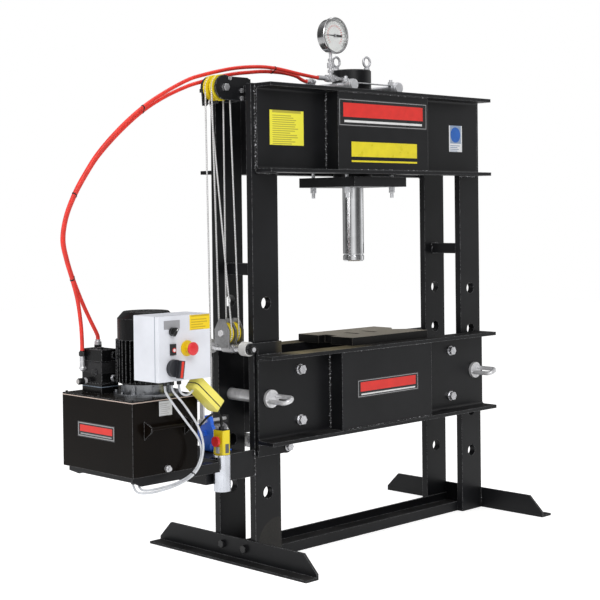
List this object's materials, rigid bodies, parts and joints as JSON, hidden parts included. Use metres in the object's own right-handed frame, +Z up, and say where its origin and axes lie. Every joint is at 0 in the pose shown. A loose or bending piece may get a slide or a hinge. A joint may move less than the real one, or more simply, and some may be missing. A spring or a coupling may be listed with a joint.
{
  "type": "hydraulic workshop press",
  "caption": "Welded workshop press frame with a pinned bed, a travelling hydraulic cylinder, a wire rope bed hoist and a side-mounted electric power pack with control box.",
  "frame": {"origin": "middle of the base tie's underside, on the floor", "axes": "+X to the right along the bed, +Y to the rear, +Z up"},
  "size_m": [2.3717, 0.988, 2.35],
  "materials": {
    "black_paint": "satin",
    "plated_steel": "satin",
    "chrome": "polished",
    "cast_aluminium": "as cast",
    "gauge_steel": "polished",
    "needle_red": "satin",
    "sheave_yellow": "satin",
    "nylon": "matte",
    "blue_paint": "gloss",
    "gasket": "matte",
    "black_plastic": "matte",
    "grey_paint": "satin",
    "yellow_plastic": "gloss",
    "red_plastic": "gloss",
    "grey_plastic": "matte",
    "hose_red": "satin",
    "cable_grey": "satin",
    "cable_black": "satin"
  },
  "bodies": {
    "frame": {"left_side_frame": "black_paint", "right_side_frame": "black_paint", "head_channels": "black_paint", "bed_channels": "black_paint", "bolster_plates": "black_paint", "feet": "black_paint", "base_tie": "black_paint", "hoist_bracket": "black_paint", "pack_bracket": "black_paint", "oil_tank": "black_paint", "tank_lid": "black_paint", "motor_body": "black_paint", "motor_cowl": "black_paint", "valve_block": "black_paint", "bed_ties": "plated_steel", "fasteners": "plated_steel", "lower_block": "plated_steel", "pump_fittings": "plated_steel", "hoist_rope": "plated_steel", "pendant_tube": "plated_steel", "bell_housing": "cast_aluminium", "winch_frame": "blue_paint", "lid_gasket": "gasket", "control_box": "grey_paint", "cable_glands": "black_plastic", "pendant_body": "yellow_plastic", "second_control": "yellow_plastic", "supply_hose": "hose_red", "return_hose": "hose_red", "motor_cable": "cable_grey", "valve_cable": "cable_grey", "second_cable": "cable_grey", "pendant_cable": "cable_black"},
    "ram": {"ram": "chrome"},
    "left_rollers": {"left_rollers": "plated_steel"},
    "right_rollers": {"right_rollers": "plated_steel"},
    "gauge_needle": {"gauge_needle": "needle_red"},
    "left_pin": {"left_pin": "plated_steel"},
    "right_pin": {"right_pin": "plated_steel"},
    "upper_guide_rollers": {"upper_guide_rollers": "nylon"},
    "lower_guide_rollers": {"lower_guide_rollers": "nylon"},
    "rear_sheave": {"rear_sheave": "sheave_yellow"},
    "front_sheave": {"front_sheave": "sheave_yellow"},
    "left_sheave": {"left_sheave": "sheave_yellow"},
    "right_sheave": {"right_sheave": "sheave_yellow"},
    "winch_drum": {"winch_drum": "plated_steel"},
    "winch_crank": {"winch_crank": "plated_steel"},
    "door": {"control_door": "grey_paint", "door_fittings": "yellow_plastic"},
    "selector_knob": {"selector_knob": "black_plastic"},
    "emergency_stop": {"emergency_stop": "red_plastic"},
    "isolator_handle": {"isolator_handle": "black_plastic"},
    "pendant_stop": {"pendant_stop": "red_plastic"},
    "pendant_button": {"pendant_button": "grey_plastic"},
    "relief_knob": {"relief_knob": "black_plastic"},
    "carriage": {"carriage_plate": "black_paint", "carriage_hanger": "plated_steel", "press_cylinder": "black_paint", "cylinder_fittings": "plated_steel", "gauge_case": "gauge_steel"}
  },
  "joints": [
    {"name": "carriage_traverse", "type": "slide", "parent": "frame", "child": "carriage", "axis": [1, 0, 0], "range_m": [-0.2, 0.2], "deforming": ["supply_hose", "return_hose"]},
    {"name": "ram_stroke", "type": "slide", "parent": "carriage", "child": "ram", "axis": [0, 0, 1], "range_m": [0, 0.3]},
    {"name": "left_rollers_turn", "type": "hinge", "parent": "carriage", "child": "left_rollers", "pos_m": [-0.162, 0, 2.0423], "axis": [0, 1, 0], "continuous": true},
    {"name": "right_rollers_turn", "type": "hinge", "parent": "carriage", "child": "right_rollers", "pos_m": [0.142, 0, 2.0423], "axis": [0, 1, 0], "continuous": true},
    {"name": "gauge_needle_turn", "type": "hinge", "parent": "carriage", "child": "gauge_needle", "pos_m": [-0.174, -0.052, 2.268], "axis": [0, 1, 0], "range_deg": [0, 225]},
    {"name": "left_pin_pull", "type": "slide", "parent": "frame", "child": "left_pin", "axis": [0, -1, 0], "range_m": [0, 0.4]},
    {"name": "right_pin_pull", "type": "slide", "parent": "frame", "child": "right_pin", "axis": [0, -1, 0], "range_m": [0, 0.4]},
    {"name": "upper_guide_rollers_turn", "type": "hinge", "parent": "frame", "child": "upper_guide_rollers", "pos_m": [-0.7953, 0, 0.9056], "axis": [0, 1, 0], "continuous": true},
    {"name": "lower_guide_rollers_turn", "type": "hinge", "parent": "frame", "child": "lower_guide_rollers", "pos_m": [-0.5867, 0, 0.4746], "axis": [0, 1, 0], "continuous": true},
    {"name": "rear_sheave_turn", "type": "hinge", "parent": "frame", "child": "rear_sheave", "pos_m": [-0.837, 0.02, 1.999], "axis": [0, 1, 0], "continuous": true},
    {"name": "front_sheave_turn", "type": "hinge", "parent": "frame", "child": "front_sheave", "pos_m": [-0.837, -0.02, 1.999], "axis": [0, 1, 0], "continuous": true},
    {"name": "left_sheave_turn", "type": "hinge", "parent": "frame", "child": "left_sheave", "pos_m": [-0.8203, -0.015, 0.9686], "axis": [1, 0, 0], "continuous": true},
    {"name": "right_sheave_turn", "type": "hinge", "parent": "frame", "child": "right_sheave", "pos_m": [-0.7803, -0.015, 0.9686], "axis": [1, 0, 0], "continuous": true},
    {"name": "winch_drum_turn", "type": "hinge", "parent": "frame", "child": "winch_drum", "pos_m": [-0.87, -0.0148, 0.56], "axis": [1, 0, 0], "continuous": true},
    {"name": "winch_crank_turn", "type": "hinge", "parent": "frame", "child": "winch_crank", "pos_m": [-0.95, -0.0258, 0.613], "axis": [1, 0, 0], "continuous": true},
    {"name": "control_door_open", "type": "hinge", "parent": "frame", "child": "door", "pos_m": [-1.459, -0.3575, 0.968], "axis": [0, 0, -1], "range_deg": [0, 110]},
    {"name": "selector_turn", "type": "hinge", "parent": "door", "child": "selector_knob", "pos_m": [-1.396, -0.3575, 1.032], "axis": [0, 1, 0], "range_deg": [-45, 45]},
    {"name": "emergency_stop_press", "type": "slide", "parent": "door", "child": "emergency_stop", "axis": [0, 1, 0], "range_m": [0, 0.005], "stiffness_N_per_m": 1500},
    {"name": "isolator_turn", "type": "hinge", "parent": "door", "child": "isolator_handle", "pos_m": [-1.392, -0.3575, 0.895], "axis": [0, 1, 0], "range_deg": [0, 90]},
    {"name": "pendant_stop_press", "type": "slide", "parent": "frame", "child": "pendant_stop", "axis": [1, 0, 0], "range_m": [0, 0.005], "stiffness_N_per_m": 1500},
    {"name": "pendant_button_press", "type": "slide", "parent": "frame", "child": "pendant_button", "axis": [1, 0, 0], "range_m": [0, 0.004], "stiffness_N_per_m": 800},
    {"name": "relief_knob_turn", "type": "hinge", "parent": "frame", "child": "relief_knob", "pos_m": [-1.45, 0.142, 0.812], "axis": [1, 0, 0], "range_deg": [-170, 170]}
  ],
  "couplings": [
    {"joint": "left_rollers_turn", "follows": "carriage_traverse", "rad_per_m": 38.462},
    {"joint": "right_rollers_turn", "follows": "carriage_traverse", "rad_per_m": 38.462},
    {"joint": "winch_crank_turn", "follows": "winch_drum_turn", "ratio": -2.845}
  ]
}
